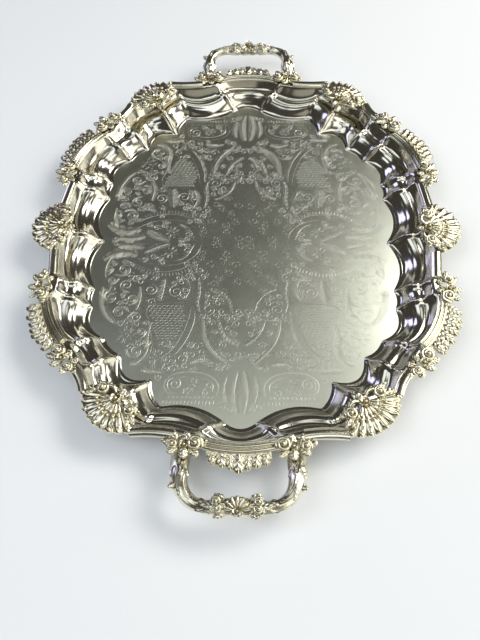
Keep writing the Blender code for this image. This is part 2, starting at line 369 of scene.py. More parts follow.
BODY_SILVER = silver("body_bright", (0.79, 0.765, 0.70), 0.165, 0.3, 0.002)
CENTRE_SILVER = silver("centre_satin", (0.78, 0.81, 0.73), 0.31, 0.08)
CUT_SILVER = silver("centre_cuts", (0.93, 0.94, 0.86), 0.41, 0.1, 0.0002)
MOULDING_SILVER = silver("moulding_polished", (0.92, 0.89, 0.76), 0.19, 0.3, 0.0015)
BORDER_SILVER = silver("border_cast", (0.93, 0.89, 0.71), 0.21)
LEAF_SILVER = silver("leaves_cast", (0.84, 0.81, 0.65), 0.24, 0.35, 0.009)
HANDLE_SILVER = silver("handle_cast", (0.88, 0.85, 0.71), 0.23)


# ---- body

# (Share of the way from the centre's outline to the edge, height over the centre.)
SIDE_PROFILE = (
    (0, 0), (0.025, 0.55), (0.05, 0.65), (0.09, 1.3), (0.14, 3.6), (0.20, 7.4), (0.27, 11.2),
    (0.35, 14.3), (0.42, 15.7), (0.47, 16.1), (0.51, 16.0), (0.55, 15.8), (0.60, 16.7),
    (0.66, 18.8), (0.72, 21.8), (0.77, 24.5), (0.80, 25.5), (1.0, 25.5),
)
FLANGE_SHARE = 0.8  # where the side ends and the flat flange starts
FLANGE_SHARES = (0.86, 0.93, 1.0)  # the flange's own rings
SIDE_ROWS = 84
UNDER_ROWS = 30
UNDER_START = 0.02  # where the flat bottom ends
PROFILE_STEPS = 800
PROFILE_BLEND = 24.0  # rounding of the profile's corners, in profile steps
PROFILE_REACH = 60  # half of the rounding's window, in profile steps
PANEL_HOLLOW = 0.45  # extra depth of a panel's middle as a share of its bow
# (Share of the way to the edge, how much of the hollow or the crease there is.)
HOLLOW_FADE = ((0.05, 0), (0.3, 1), (0.62, 1), (0.8, 0))
CREASE_FADE = ((0, 0), (0.07, 1), (0.7, 1), (0.8, 0.2), (1, 0))
CREASE_RIB = (2.0, 1.9, 2.4)  # height, half-width at the foot, added half-width at the edge
CREASE_GROOVE = (0.14, 6.5, 3.0)  # depth as a share of the rib's height, distance from the rib, half-width


def side_profile(shares):
    """Height over the centre at each share of the way to the edge, its corners rounded."""
    fine = np.linspace(0, 1, PROFILE_STEPS + 1)
    kernel = np.exp(-((np.arange(-PROFILE_REACH, PROFILE_REACH + 1) / PROFILE_BLEND) ** 2))
    rise = np.pad(graded(fine, SIDE_PROFILE), PROFILE_REACH, "edge")
    return np.interp(shares, fine, np.convolve(rise, kernel / kernel.sum(), "valid"))


def side_ring(columns, share, rise):
    """One ring of the fluted side; the panels between the creases keep their bulge as it rises."""
    edge, chord, bow, crease = columns
    flat = chord + (edge - chord) * share + bow * math.cos(share * math.pi / 2) ** 0.8
    run = run_of(np.concatenate([flat, flat[:1]]))
    height, foot_width, more_width = CREASE_RIB
    depth, distance, groove_width = CREASE_GROOVE
    rib = np.zeros(len(flat))
    for start in np.flatnonzero(crease):
        gap = np.abs(run[:-1] - run[start])
        gap = np.minimum(gap, run[-1] - gap)
        tall = height * crease[start]
        ridge = tall * np.exp(-((gap / (foot_width + more_width * share)) ** 2))
        groove = tall * depth * np.exp(-(((gap - distance) / groove_width) ** 2))
        rib = np.maximum(rib, ridge) - groove
    hollow = PANEL_HOLLOW * np.linalg.norm(bow, axis=1) * graded(share, HOLLOW_FADE)
    return np.column_stack([flat, rise + graded(share, CREASE_FADE) * rib - hollow])


def build_body():
    edge, chord, bow, crease = full_columns()
    columns = (smoothed(edge), smoothed(chord), smoothed(bow), crease)
    shares = np.concatenate([np.linspace(0, FLANGE_SHARE, SIDE_ROWS), FLANGE_SHARES])
    top = [side_ring(columns, share, rise + SHEET) for share, rise in zip(shares, side_profile(shares))]
    top[0][:, 2] = SHEET
    lip = np.column_stack([columns[0], np.full(len(edge), FLANGE_Z - SHEET)])
    shares = np.linspace(FLANGE_SHARE, UNDER_START, UNDER_ROWS)
    under = [side_ring(columns, share, rise) for share, rise in zip(shares, side_profile(shares))]
    under[-1][:, 2] = 0
    shape = skin(top + [lip] + under)
    obj = link("pressed_body", shape, "tray_body", "body_silver", BODY_SILVER, CENTRE_SILVER)
    obj.data.polygons[-2].material_index = 1  # the flat centre is the skin's first end
    mark_flat_ends(obj.data)


def mark_flat_ends(mesh):
    """Makes the edges of the two big flat faces sharp, so that they shade flat."""
    sharp = mesh.attributes.get("sharp_edge") or mesh.attributes.new("sharp_edge", "BOOLEAN", "EDGE")
    lookup = {key: i for i, key in enumerate(mesh.edge_keys)}
    for polygon in mesh.polygons[-2:]:
        for key in polygon.edge_keys:
            sharp.data[lookup[key]].value = True


# ---- border mouldings and leaves

# Reeds of a moulding: (distance inwards from the edge, radius, height).
HOLLOW_REEDS = ((4.4, 4.4, 3.1), (10.0, 0.9, 1.9))
LOBE_REEDS = ((1.9, 1.9, 2.2), (6.0, 2.0, 3.2), (9.7, 1.1, 1.9))
REED_WIDTH = 11.0
REED_OVERHANG = 0.3
REED_FOOT = -0.2
REED_FULLNESS = 1.12  # half-width of a reed as a share of its radius
WEB_HEIGHT = 1.2
REED_EDGES = (0.6, 0.35)  # height of the section's outer and inner edge
HIDDEN_ENDS = 3.5  # how far a moulding runs on under the shells and scrolls at its ends


def border_path(first, last):
    """The edge from one knot of the first quarter to another."""
    parts = [bowed(BORDER[a][:2], BORDER[a + 1][:2], BORDER[a][2], PATH_STEP) for a in range(first, last)]
    return np.concatenate(parts + [np.array([BORDER[last][:2]], float)])


def handle_lobe_path():
    """The edge of the whole lobe beside the far handle."""
    x, y = BORDER[HANDLE_LOBE_KNOT][:2]
    return np.concatenate([bowed((x, y), (-x, y), LOBE_BOW, PATH_STEP), [[-x, y]]])


def in_quarter(path, quarter):
    """A path of the first quarter mirrored into another, still anticlockwise."""
    path = path * ((1, 1), (-1, 1), (-1, -1), (1, -1))[quarter]
    return path if quarter in (0, 2) else path[::-1]


def lobe_paths():
    """The edges of the six lobes in the order of the CAD nodes."""
    diagonal, handle = border_path(*LOBE), handle_lobe_path()
    return (
        in_quarter(diagonal, 0), handle, in_quarter(diagonal, 1),
        in_quarter(diagonal, 2), in_quarter(handle, 2), in_quarter(diagonal, 3),
    )


def lengthened(path, more):
    """The path run on straight at both ends."""
    start, end = path[0] - path[1], path[-1] - path[-2]
    start, end = path[0] + start / np.hypot(*start) * more, path[-1] + end / np.hypot(*end) * more
    return np.concatenate([[start], path, [end]])


def outward(path):
    """The outward direction at each point of a path."""
    way = np.gradient(path, axis=0)
    way /= np.linalg.norm(way, axis=1)[:, None]
    return np.column_stack([way[:, 1], -way[:, 0]])


def reed_section(reeds):
    """Rounded reeds over a thin web, as (distance outwards, height) round the section."""
    inwards = np.linspace(-REED_OVERHANG, REED_WIDTH, 46)
    z = np.full(len(inwards), WEB_HEIGHT)
    for at, radius, height in reeds:
        away = (inwards - at) / (radius * REED_FULLNESS)
        z = np.maximum(z, height * np.sqrt(np.clip(1 - away**2, 0, 1)))
    z = np.convolve(np.pad(z, 1, "edge"), (0.25, 0.5, 0.25), "valid")
    z[0], z[-1] = REED_EDGES
    foot = [(-REED_WIDTH, REED_FOOT), (REED_OVERHANG, REED_FOOT)]
    return np.concatenate([np.column_stack([-inwards, z]), foot])


def sweep(path, section, z0):
    """A section of (distance outwards, height over z0) drawn along a path."""
    rings = []
    for point, direction in zip(path, outward(path)):
        flat = point + direction * section[:, :1]
        rings.append(np.column_stack([flat, z0 + section[:, 1]]))
    return skin(np.array(rings)[:, ::-1])


def build_mouldings():
    places = [(quarter, knots) for quarter in range(4) for knots in HOLLOWS]
    for number, (quarter, knots) in enumerate(places, 1):
        path = in_quarter(lengthened(border_path(*knots), HIDDEN_ENDS), quarter)
        shape = sweep(path, reed_section(HOLLOW_REEDS), BORDER_Z)
        link(f"reeds_{number}", shape, f"hollow_mould_{number}", "border_silver", MOULDING_SILVER)
    for number, path in enumerate(lobe_paths(), 1):
        shape = sweep(path, reed_section(LOBE_REEDS), BORDER_Z)
        link(f"lobe_reeds_{number}", shape, f"lobe_mould_{number}", "border_silver", MOULDING_SILVER)


LEAF_TONGUES = 7
LEAF_Z = 26.2
LEAF_THICK = 3.1
LEAF_CURL = 3.4
LEAF_DROOP = 3.2
BAND_ENDS = 7.0  # length of the edge left free of tongues at each end of a lobe
BAND_SLANTS = (0.34, 0.0, -0.34, 0.34, 0.0, -0.34)  # lean of the tongues on each lobe, in radians
BAND_BEADS = ((1.9, 3.4, 27.0), (2.1, 9.2, 25.6))  # between two tongues: (radius, distance outwards, height)
# The strip that the tongues spring from: (distance outwards, height over BAND_BASE_Z).
BAND_BASE = ((6.5, 0.0), (6.5, 0.8), (3.0, 2.2), (0.2, 2.8), (0.2, 0.0))
BAND_BASE_Z = 25.4
BAND_BASE_CUT = 10  # path steps left off at each end


def leaf_tongue(i, number, pitch, slant):
    """Tongue i of band number, and its lean in radians: long and slanting on the diagonal lobes, upright
    beside the handles, and longest in the middle."""
    middle = 1 - abs(2 * i / (LEAF_TONGUES - 1) - 1)
    if slant:
        length, width = 16.8 + 1.8 * middle + 0.7 * math.sin(4 * i + number), 1.38
        lean = slant + 0.10 * math.sin(5 * i + number)
    else:
        length, width = 14.2 + 4.0 * middle**2, 1.0 + 0.3 * (i % 2) + 0.2 * (middle == 1)
        lean = 0.13 * (LEAF_TONGUES // 2 - i)
    return leaf(length, pitch * width, LEAF_THICK, LEAF_CURL, 3, LEAF_DROOP, 1.0, 0.85), lean


def build_leaf_bands():
    for number, (path, slant) in enumerate(zip(lobe_paths(), BAND_SLANTS), 1):
        run, out = run_of(path), outward(path)
        pitch = (run[-1] - 2 * BAND_ENDS) / LEAF_TONGUES
        parts = []
        for i in range(LEAF_TONGUES):
            k = int(np.searchsorted(run, BAND_ENDS + pitch * (i + 0.5)))
            tongue, lean = leaf_tongue(i, number, pitch, slant)
            turn = math.degrees(math.atan2(out[k][1], out[k][0]) + lean) - 90
            parts.append(moved(tongue, (*(path[k] - out[k] * 0.5), LEAF_Z), turn))
            if i < LEAF_TONGUES - 1:
                gap = path[k] + np.array([-out[k][1], out[k][0]]) * pitch * 0.5
                parts += [bead(radius, (*(gap + out[k] * reach), z)) for radius, reach, z in BAND_BEADS]
        base = sweep(path[BAND_BASE_CUT:-BAND_BASE_CUT], np.array(BAND_BASE), BAND_BASE_Z)
        parts.append((base[0], [face[::-1] for face in base[1]]))
        link(f"leaves_{number}", joined(parts), f"leaf_band_{number}", "border_silver", LEAF_SILVER)


# ---- shells and scroll clusters

SIDE_SHELL = (12.0, 37.6, 73, -0.05)  # hub inside the edge, radius, half spread in degrees, flare
DIAGONAL_SHELL = (17.0, 33.5, 68, 0.13)
SHELL_RIBS = 9
CREST_BEADS = 7


def shell_corner():
    """The volute, leaves, rod and beads at the -X corner of a shell."""
    t = np.linspace(0, 1, 20)
    rod = np.column_stack([-3.0 - 14.0 * t, -1.0 - 4.2 * np.sin(math.pi * t), 3.2 + 0.8 * t])
    parts = [
        moved(volute(5.6, 1.6, 2.2, 2.4, 200), (-17.5, 2.2, 3.4), -25),
        moved(leaf(17, 8.5, 2.6, 2.2, 4, 1.0), (-15, 3.0, 2.4), 66),
        moved(leaf(12, 6.5, 2.2, 1.6, 3, 0.6), (-17, -0.5, 1.8), 92),
        moved(leaf(9, 5.0, 2.2, 1.8, 3), (-22, 8.5, 3.0), 30),
        tube(rod, graded(t, ((0, 1.2), (0.5, 2.1), (1, 1.6))), 1.2),
    ]
    parts += [bead(1.5 - 0.05 * i, (-5.0 - 3.3 * i, -6.6 + 0.30 * (i - 2) ** 2, 1.8)) for i in range(5)]
    return joined(parts)


def shell_shape(radius, spread, flare):
    """One shell in local millimetres: hub at the origin, opening along +Y."""
    parts = [fan(radius * 0.97, spread, SHELL_RIBS, 3.6, 3.0, flare, 0.85)]
    for i in range(SHELL_RIBS):
        aside = 1 - (2 * i + 1) / SHELL_RIBS
        angle = math.radians(spread) * aside
        reach = radius * (1 + flare * aside**2) - 3.4
        size = 2.9 + 0.4 * math.cos(3 * i)
        parts.append(bead(size, (reach * math.sin(angle), reach * math.cos(angle), 1.2)))
    parts.append(moved(fan(radius * 0.5, spread * 0.9, 7, 2.4, 2.0, 0.0, 0.6), (0, 0, 1.7), tilt=4))
    corner = shell_corner()
    parts += [corner, flipped(corner)]
    for i in range(CREST_BEADS):
        angle = math.radians(spread) * 0.84 * (2 * i - CREST_BEADS + 1) / CREST_BEADS
        reach = radius * 0.57
        parts.append(bead(2.1, (reach * math.sin(angle), reach * math.cos(angle), 4.4)))
    parts.append(moved(flower(5.4, 6), (0, 2.0, 4.6)))
    parts.append(moved(leaf(12, 9, 2.4, 0.5, 3, 0.0, 0.5, 0.4), (0, 1, 1.4), 180))
    return joined(parts)


def shell_seats():
    """(hub, outward direction in degrees, shell size) of the six shells, in the order of the CAD nodes."""
    first, last = (np.array(BORDER[k][:2], float) for k in SHELL_KNOTS)
    way = (last - first) / np.hypot(*(last - first))
    out = np.array([way[1], -way[0]])
    turn = math.degrees(math.atan2(out[1], out[0]))
    x, y = (first + last) / 2 - out * DIAGONAL_SHELL[0]
    side = BORDER[0][0] - SIDE_SHELL[0]
    return (
        ((side, 0), 0, SIDE_SHELL), ((x, y), turn, DIAGONAL_SHELL), ((-x, y), 180 - turn, DIAGONAL_SHELL),
        ((-side, 0), 180, SIDE_SHELL), ((-x, -y), 180 + turn, DIAGONAL_SHELL),
        ((x, -y), -turn, DIAGONAL_SHELL),
    )


def build_shells():
    for number, (hub, turn, size) in enumerate(shell_seats(), 1):
        placed = moved(shell_shape(*size[1:]), (*hub, BORDER_Z), turn - 90)
        link(f"shell_look_{number}", placed, f"shell_{number}", "border_silver", BORDER_SILVER)


# The three scrolls of the first quarter: outward direction in degrees, and 1 if the lobe is clockwise of it.
SCROLL_SEATS = ((0, -1), (45, 1), (83, -1))


def scroll_shape():
    """One scroll cluster in local millimetres, outward along +Y, its big volute on the +X side."""
    parts = [
        flipped(moved(volute(6.6, 1.7, 2.4, 3.0, 150), (-9.5, -2.0, 2.6))),
        moved(volute(4.6, 1.5, 1.9, 2.4, 140), (-10.5, 1.5, 2.4)),
        moved(leaf(14, 9.0, 2.8, 1.4, 4, 0.0, 0.4, 0.75), (0, -1, 1.0), -8),
        moved(leaf(13, 8.0, 2.6, 1.2, 4, 0.0, 0.4, 0.8), (4, 1, 0.8), -52),
        moved(leaf(12, 8.0, 2.6, 1.2, 4, 0.0, 0.4, 0.8), (-5, 1, 0.8), 42),
        moved(leaf(12, 7.5, 2.4, 1.4, 3, 0.0, 0.4, 0.75), (-9, -2, 0.8), 82),
        moved(leaf(10, 7.0, 2.4, 1.0, 3, 0.0, 0.4, 0.8), (11, -3, 0.6), -104),
        moved(leaf(11, 9.0, 2.4, 0.4, 3, 0.0, 0.4, 0.8), (1, -1, 0.6), 180),
        moved(leaf(9, 7.0, 2.2, 0.4, 3, 0.0, 0.4, 0.8), (-7, -3, 0.6), 150),
        moved(flower(4.6, 5), (0.5, 0.5, 3.2)),
    ]
    parts += [bead(1.35, (-5 - 3.0 * i, -7.2 + 0.9 * i, 1.6)) for i in range(5)]
    return joined(parts)


def build_scrolls():
    shape = scroll_shape()
    seats = [(quarter, *seat) for quarter in range(4) for seat in SCROLL_SEATS]
    for number, (quarter, degrees, hand) in enumerate(seats, 1):
        node = f"scroll_{number}"
        low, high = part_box(node)
        x, y = ((low + high) / 2).xy / MM
        turn = (degrees, 180 - degrees, 180 + degrees, -degrees)[quarter]
        mirrored = (quarter in (1, 3)) == (hand == 1)
        placed = moved(flipped(shape) if mirrored else shape, (x, y, BORDER_Z), turn - 90)
        link(f"scroll_look_{number}", placed, node, "border_silver", BORDER_SILVER)


# ---- handles

GRIP_Z = 30.0
GRIP_Y = 296.4
ARM_X = 50.5
ARM_ROOT = (236.5, 19.2)  # y and z of the arm's end under the flange
CORNER = 25.0  # radius of the bend between arm and grip
BAR_HALF_HEIGHT = 4.928
# (Share of the way from an arm's end to the middle of the grip, half-width.)
BAR_HALF_WIDTH = (
    (0, 6.2), (0.2, 8.0), (0.36, 7.4), (0.5, 6.0), (0.76, 4.8), (0.8, 6.0), (0.86, 6.6), (0.9, 7.4),
    (1.0, 8.0),
)
WIDTH_BLENDS = 12  # smoothing rounds
LINE_BLENDS = 40
HANDLE_STEP = 0.5
HANDLE_SIDES = 60
ARM_RIBS = 6
ARM_TWIST = 2.2  # turn of the ribs along an arm, in radians
WRAPPED_LEAVES = (0.4, math.pi / 2 + 0.2, math.pi - 0.2, -math.pi / 2)  # angles about the bar


def handle_line():
    """The whole centreline, evenly spaced and smoothed, from the right root to the left one."""
    y, z = ARM_ROOT
    half = [(ARM_X, y, z), (ARM_X, y + 8, z), (ARM_X + 1, y + 18, z + 2), (ARM_X + 1, y + 27, GRIP_Z - 5)]
    for i in range(13):
        angle = math.radians(7.5 * i)
        x, y = ARM_X - CORNER + CORNER * math.cos(angle), GRIP_Y - CORNER + CORNER * math.sin(angle)
        half.append((x, y, GRIP_Z - max(0, 2 - i / 2)))
    half = np.array(half + [(0, GRIP_Y, GRIP_Z)])
    line = np.concatenate([half, half[-2::-1] * (-1, 1, 1)])
    run = np.concatenate([[0], np.cumsum(np.linalg.norm(np.diff(line, axis=0), axis=1))])
    at = np.linspace(0, run[-1], int(run[-1] / HANDLE_STEP))
    line = np.column_stack([np.interp(at, run, line[:, i]) for i in range(3)])
    for _ in range(LINE_BLENDS):
        line[1:-1] = (line[:-2] + 2 * line[1:-1] + line[2:]) / 4
    return line


def leaf_relief(u, around, start, end, centre, half):
    """Height of a leaf wrapped on a bar, 0 outside it: u runs along, around is the angle about the bar."""
    t = np.clip((u - start) / (end - start), 0, 1)
    shape = np.sin(math.pi * t**0.7) ** 0.7 * (1 + 0.16 * np.cos(TAU * 3 * t))
    away = np.abs((around - centre + math.pi) % TAU - math.pi) / (half * shape + 1e-3)
    body = np.clip((1 - away) / 0.16, 0, 1)
    vein = 0.35 * np.cos(TAU * (3 * t - 0.8 * away)) * np.clip(away, 0, 1)
    rib = 0.45 * np.exp(-((away / 0.13) ** 2)) - 0.25 * np.exp(-(((away - 0.28) / 0.1) ** 2))
    return body * (0.85 + vein + rib) * ((t > 0) & (t < 1))


def handle_relief(u, angle, hand):
    """Height of the ornament on the bar: twisted ribs and wrapped leaves on the arms, waves on the grip. U is
    the share of the way from an arm's end to the grip's middle, and hand 1 or -1 for the arm."""
    arm = np.clip((0.74 - u) / 0.08, 0, 1)
    relief = 0.42 * np.cos(ARM_RIBS * (angle + hand * ARM_TWIST * u)) * arm
    for centre in WRAPPED_LEAVES:
        relief = np.maximum(relief, 0.9 * leaf_relief(u, angle, 0.02, 0.36, centre, 1.1))
        relief = np.maximum(relief, 0.8 * leaf_relief(1 - u, angle, 0.10, 0.34, centre, 0.9))
    return relief + 0.5 * np.clip((u - 0.62) / 0.1, 0, 1) * np.cos(angle) * np.cos(TAU * u * 8)


def handle_bar():
    """The bar of a handle from root to root, with its ornament in relief."""
    line = handle_line()
    hand = np.linspace(-1, 1, len(line))
    share = 1 - np.abs(hand)
    width = graded(share, BAR_HALF_WIDTH)
    for _ in range(WIDTH_BLENDS):
        width[1:-1] = (width[:-2] + width[1:-1] + width[2:]) / 3
    way = np.gradient(line, axis=0)
    way /= np.linalg.norm(way, axis=1)[:, None]
    side = np.column_stack([way[:, 1], -way[:, 0], np.zeros(len(line))])
    side /= np.linalg.norm(side, axis=1)[:, None]
    rise = np.cross(side, way)
    angle = TAU * np.arange(HANDLE_SIDES) / HANDLE_SIDES
    relief = handle_relief(share[:, None], angle, -np.sign(hand)[:, None])
    across = (width[:, None] + relief) * np.cos(angle)
    up = (BAR_HALF_HEIGHT + relief) * np.sin(angle)
    rings = line[:, None] + side[:, None] * across[..., None] + rise[:, None] * up[..., None]
    return skin(rings[:, ::-1])


def grip_ornament():
    """The shell and foliage at the middle of a grip, hub on the outer side, in grip millimetres."""
    wing = joined([
        moved(volute(4.6, 1.5, 1.9, 2.0, 120), (-17.5, 2.2, 3.6)),
        moved(volute(3.8, 1.4, 1.7, 2.0, 200), (-18.0, -4.0, 3.4)),
        moved(leaf(18, 8.5, 2.8, 0.8, 5, 0.0, 0.5, 0.3), (-11, -1.0, 3.4), 86),
        moved(leaf(11, 6.5, 2.4, 0.6, 3, 0.0, 0.5, 0.3), (-10, 4.6, 2.6), 64),
        moved(leaf(11, 6.5, 2.4, 0.6, 3, 0.0, 0.5, 0.3), (-10, -5.2, 2.6), 116),
    ])
    return joined([
        moved(fan(13.5, 84, 7, 2.6, 1.5, -0.1, 1.6), (0, 4.6, 3.2), 180),
        moved(fan(6.5, 80, 5, 2.2, 1.2, -0.1, 1.2), (0, 3.0, 3.4)),
        moved(flower(4.2, 5), (0, 4.6, 6.0)),
        wing,
        flipped(wing),
    ])


def corner_spur():
    """The leaves that spring from the outside of a handle's -X corner."""
    return joined([
        moved(leaf(9.5, 7.0, 3.0, 1.6, 3, 0.0, 0.4, 0.8), (-50.5, GRIP_Y - 20, GRIP_Z), 62),
        moved(leaf(12, 6.5, 2.6, 1.0, 3, 0.0, 0.4, 0.6), (-49.5, GRIP_Y - 17, GRIP_Z + 2.4), -12),
        moved(leaf(12, 6.0, 2.4, 0.8, 3, 0.0, 0.4, 0.6), (-45.0, GRIP_Y - 8, GRIP_Z + 2.4), -62),
        bead(1.7, (-58.0, GRIP_Y - 15.8, GRIP_Z + 2.2)),
    ])


def build_handles():
    spur = corner_spur()
    ornament = moved(grip_ornament(), (0, GRIP_Y, GRIP_Z))
    vertices, faces = joined([handle_bar(), ornament, spur, flipped(spur)])
    for end, facing in (("far", 1), ("near", -1)):
        shape = vertices * (facing, facing, 1), faces
        link(f"handle_look_{end}", shape, f"handle_{end}", "handle_silver", HANDLE_SILVER)


# ---- engraving

CUT_HALF_WIDTH = 0.36
CUT_HEIGHT = 0.15
CUT_ROOT = 0.08  # how far a ridge's foot is sunk in the centre
PLUME_LEAN = 0.8  # angle between a plume's stem and its commas, in radians
PLUME_BEND = 0.7  # turn along a comma, in radians
PLUME_TAPER = 0.6  # share of their length that commas lose at the plume's ends
TOOTH_WIDTH = 2.2  # as a share of a full cut's
TOOTH_GAP = 1.2
SCALE_PITCH = 4.8
SCALE_ROW = 0.62  # row spacing as a share of the pitch


def arc(points, count):
    """A smooth path through a few points, by repeated corner rounding."""
    path = np.asarray(points, float)
    for _ in range(3):
        near, far = path[:-1] * 0.75 + path[1:] * 0.25, path[:-1] * 0.25 + path[1:] * 0.75
        path = np.concatenate([path[:1], np.stack([near, far], 1).reshape(-1, 2), path[-1:]])
    run = run_of(path)
    at = np.linspace(0, run[-1], count)
    return np.column_stack([np.interp(at, run, path[:, i]) for i in range(2)])


def curl(x, y, radius, turns, start=0.0, hand=1):
    """A spiral stroke that winds in from its start angle, in degrees; hand 1 is anticlockwise."""
    t = np.linspace(0, 1, int(14 * turns) + 4)
    angle = math.radians(start) + hand * TAU * turns * t
    reach = radius * (1 - 0.86 * t)
    return np.column_stack([x + reach * np.cos(angle), y + reach * np.sin(angle)])


def comma(start, heading, length, bend):
    """A short curved cut that leaves its start along the heading and bends, both in radians."""
    angle = heading + bend * np.linspace(0, 1, 5)[:-1]
    hops = np.column_stack([np.cos(angle), np.sin(angle)]) * length / 4
    return np.concatenate([[start], np.asarray(start) + np.cumsum(hops, axis=0)])


def plume(points, length, spacing, sides=(1, -1)):
    """Commas that fan off the sides of a stem (1 left, -1 right), longest in its middle."""
    path = arc(points, 30)
    run = run_of(path)
    strokes = [(path, 1.0)]
    for i in range(int(run[-1] / spacing)):
        at = (i + 0.5) * spacing / run[-1]
        k = min(28, int(at * 29))
        way = math.atan2(*(path[k + 1] - path[k])[::-1])
        size = length * (1 - PLUME_TAPER + PLUME_TAPER * math.sin(math.pi * min(1, at * 0.9 + 0.1)))
        for side in sides:
            strokes.append((comma(path[k], way + side * PLUME_LEAN, size, side * PLUME_BEND), 0.8))
    return strokes


def comb(points, length, spacing):
    """Straight teeth off the left of a curve, as on the edge of an engraved cell."""
    path = arc(points, 60)
    run = run_of(path)
    strokes = [(path, 0.9)]
    for i in range(int(run[-1] / spacing) + 1):
        k = min(58, int(i * spacing / run[-1] * 59))
        way = path[k + 1] - path[k]
        out = np.array([-way[1], way[0]]) / np.hypot(*way)
        strokes.append((path[k] + out * np.linspace(TOOTH_GAP, length, 7)[:, None], TOOTH_WIDTH))
    return strokes


def scales(low_x, high_x, low_y, high_y, left, right):
    """A fish-scale ground within a box and between two curves, each given as rows of (y, x)."""
    strokes = []
    bow = np.radians(np.linspace(200, 340, 6))
    for row in range(int((high_y - low_y) / (SCALE_PITCH * SCALE_ROW))):
        y = low_y + row * SCALE_PITCH * SCALE_ROW
        x = max(low_x, graded(y, left)) + (row % 2) * SCALE_PITCH / 2
        while x < min(high_x, graded(y, right)):
            path = np.column_stack([x + SCALE_PITCH / 2 * np.cos(bow), y + SCALE_PITCH * 0.55 * np.sin(bow)])
            strokes.append((path, 1.15))
            x += SCALE_PITCH
    return strokes


def rosette(x, y, radius, petals):
    """A small spiral with pairs of commas round it for petals."""
    strokes = [(curl(x, y, radius * 0.4, 1.0), 0.9)]
    for i in range(petals):
        way = TAU * i / petals
        foot = (x + 0.45 * radius * math.cos(way), y + 0.45 * radius * math.sin(way))
        for side in (1, -1):
            strokes.append((comma(foot, way + side * 0.9, radius * 0.8, -side * 1.5), 0.8))
    return strokes


def sprig(x, y, size, heading, hand):
    """A small C-scroll with a fan of commas off its back."""
    strokes = [(curl(x, y, size, 1.3, math.degrees(heading), hand), 1.1)]
    for i in range(7):
        way = heading + hand * (0.55 * i - 0.6)
        foot = (x + 1.02 * size * math.cos(way), y + 1.02 * size * math.sin(way))
        strokes.append((comma(foot, way + 0.5 * hand, size * (0.55 + 0.12 * (i % 3)), 0.9 * hand), 0.9))
    return strokes


FILLER_STEP = (8.8, 8.4)  # spacing of the grid's columns and rows
FILLER_FIELD = (151, 200)  # half-axes of the oval field
PLAIN_MIDDLE = (52, 88)  # half-axes of the oval with only a few faint sprigs
FILLER_ROOM = 2.4  # least distance from a sprig's middle to the main figures


def filler(taken):
    """Sprigs on a staggered grid wherever the main figures leave the field empty, lighter in the middle."""
    points = np.concatenate([path for path, _ in taken])
    strokes = []
    for row in range(24):
        for column in range(18):
            k = 31 * row + 17 * column
            x = 5 + FILLER_STEP[0] * (column + row % 2 / 2) + 1.6 * math.sin(2.1 * k)
            y = 5 + FILLER_STEP[1] * row + 1.6 * math.cos(1.7 * k)
            room = np.hypot(points[:, 0] - x, points[:, 1] - y).min()
            middle = (x / PLAIN_MIDDLE[0]) ** 2 + (y / PLAIN_MIDDLE[1]) ** 2 < 1
            outside = (x / FILLER_FIELD[0]) ** 2.2 + (y / FILLER_FIELD[1]) ** 2.2 > 1
            if outside or room <= FILLER_ROOM or (middle and k % 3):
                continue
            found = sprig(x, y, min(4.4, 1.2 + 0.6 * room), 2.4 * k, 1 if k % 2 else -1)
            strokes += [(path, width * (0.6 if middle else 1.0)) for path, width in found]
    return strokes


# Scrolls down the outer side: (x, y, radius, turns, start angle in degrees, hand).
OUTER_SCROLLS = (
    (131, 38, 9, 1.7, 30, 1), (142, 52, 6, 1.5, 200, -1), (126, 58, 8, 1.6, 120, -1),
    (141, 74, 8, 1.6, 300, 1), (118, 76, 7, 1.6, 60, 1), (130, 92, 8, 1.6, 180, 1),
    (112, 98, 7, 1.6, 10, -1), (104, 116, 6, 1.5, 90, 1), (108, 138, 8, 1.7, 340, 1),
    (98, 128, 5, 1.4, 200, -1), (148, 66, 5, 1.3, 0, 1), (148, 38, 6, 1.5, 90, 1),
)


def almond_cell():
    """The cell on the X axis with its toothed edge and flower, and the feather and plume round it."""
    cuts = comb([(58, 30), (70, 38), (88, 41), (108, 37), (122, 28)], 6.0, 3.3)
    cuts += [(arc([(126, 16), (112, 27), (90, 33), (68, 30), (52, 18), (47, 0)], 30), 0.7)]
    cuts += plume([(84, 2), (98, 7), (112, 16)], 6.0, 2.0)
    cuts += rosette(82, 14, 7.5, 8)
    cuts += [(curl(64, 12, 5.5, 1.5, 40, 1), 1.1), (curl(100, 20, 4.5, 1.5, 200, -1), 1.1)]
    cuts += plume([(56, 4), (64, 22), (76, 26)], 4.5, 2.0, (-1,))
    cuts += plume([(66, 2), (74, 3)], 5.0, 2.0)
    cuts += plume([(118, 18), (132, 14), (144, 17), (155, 25)], 9.5, 1.6)
    cuts += plume([(112, 8), (126, 4), (142, 6)], 8.0, 1.8)
    cuts += plume([(84, 50), (85, 62), (87, 78)], 10.0, 1.7)
    cuts += [(curl(72, 66, 8, 1.7, 250, 1), 1.2), (curl(99, 64, 7.5, 1.7, 290, -1), 1.2)]
    cuts += plume([(60, 50), (56, 62), (62, 76)], 7.0, 1.8, (1,))
    return cuts


def scale_ground():
    """The fish-scale ground and its frame."""
    cuts = scales(58, 98, 86, 130, [(86, 64), (104, 60), (130, 70)], [(86, 98), (110, 92), (130, 84)])
    cuts += [(arc([(58, 80), (80, 80), (104, 84), (96, 108), (90, 134), (96, 148)], 34), 0.6)]
    cuts += [(arc([(54, 84), (57, 104), (64, 124), (72, 138), (86, 148)], 30), 0.6)]
    cuts += plume([(50, 90), (50, 104), (57, 126), (68, 142)], 5.0, 2.4, (1,))
    return cuts


